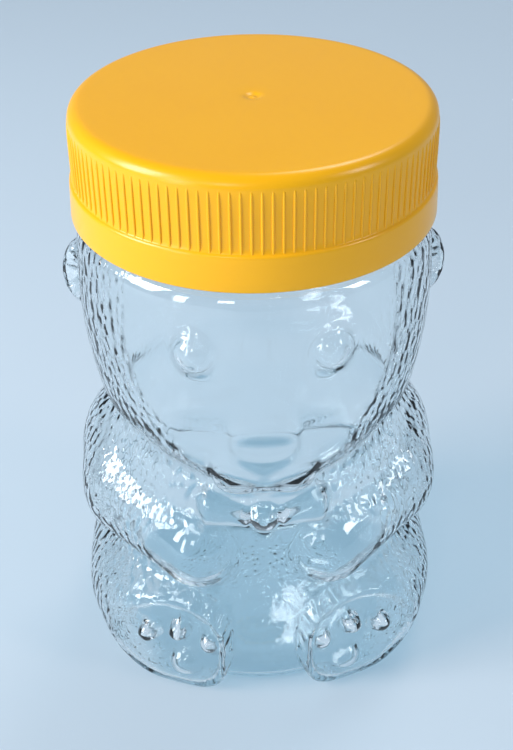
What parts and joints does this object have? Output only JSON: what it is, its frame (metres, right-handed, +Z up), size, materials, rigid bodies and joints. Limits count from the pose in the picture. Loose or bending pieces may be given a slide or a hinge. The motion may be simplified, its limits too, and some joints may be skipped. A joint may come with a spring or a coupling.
{
  "type": "honey bear bottle",
  "caption": "Clear squeezable bear-shaped honey jar with a wide neck and a ribbed screw cap over a foam sealing wad.",
  "frame": {"origin": "middle of the base, on the surface the bottle stands on", "axes": "+Z up along the neck's axis, the bear faces -Y, +X to the bear's left"},
  "size_m": [0.0716, 0.0665, 0.1139],
  "materials": {
    "clear_pet": "clear",
    "white_foam": "matte",
    "yellow_polypropylene": "gloss"
  },
  "bodies": {
    "jar": {"bear_jar": "clear_pet"},
    "wad": {"cap_liner": "white_foam"},
    "cap": {"screw_cap": "yellow_polypropylene"}
  },
  "joints": [
    {"name": "cap_lift", "type": "slide", "parent": "jar", "child": "wad", "axis": [0, 0, 1], "range_m": [0, 0.0252]},
    {"name": "cap_turn", "type": "hinge", "parent": "wad", "child": "cap", "pos_m": [0, 0, 0.1115], "axis": [0, 0, 1], "range_deg": [0, 1080]}
  ],
  "couplings": [
    {"joint": "cap_turn", "follows": "cap_lift", "rad_per_m": 748}
  ]
}
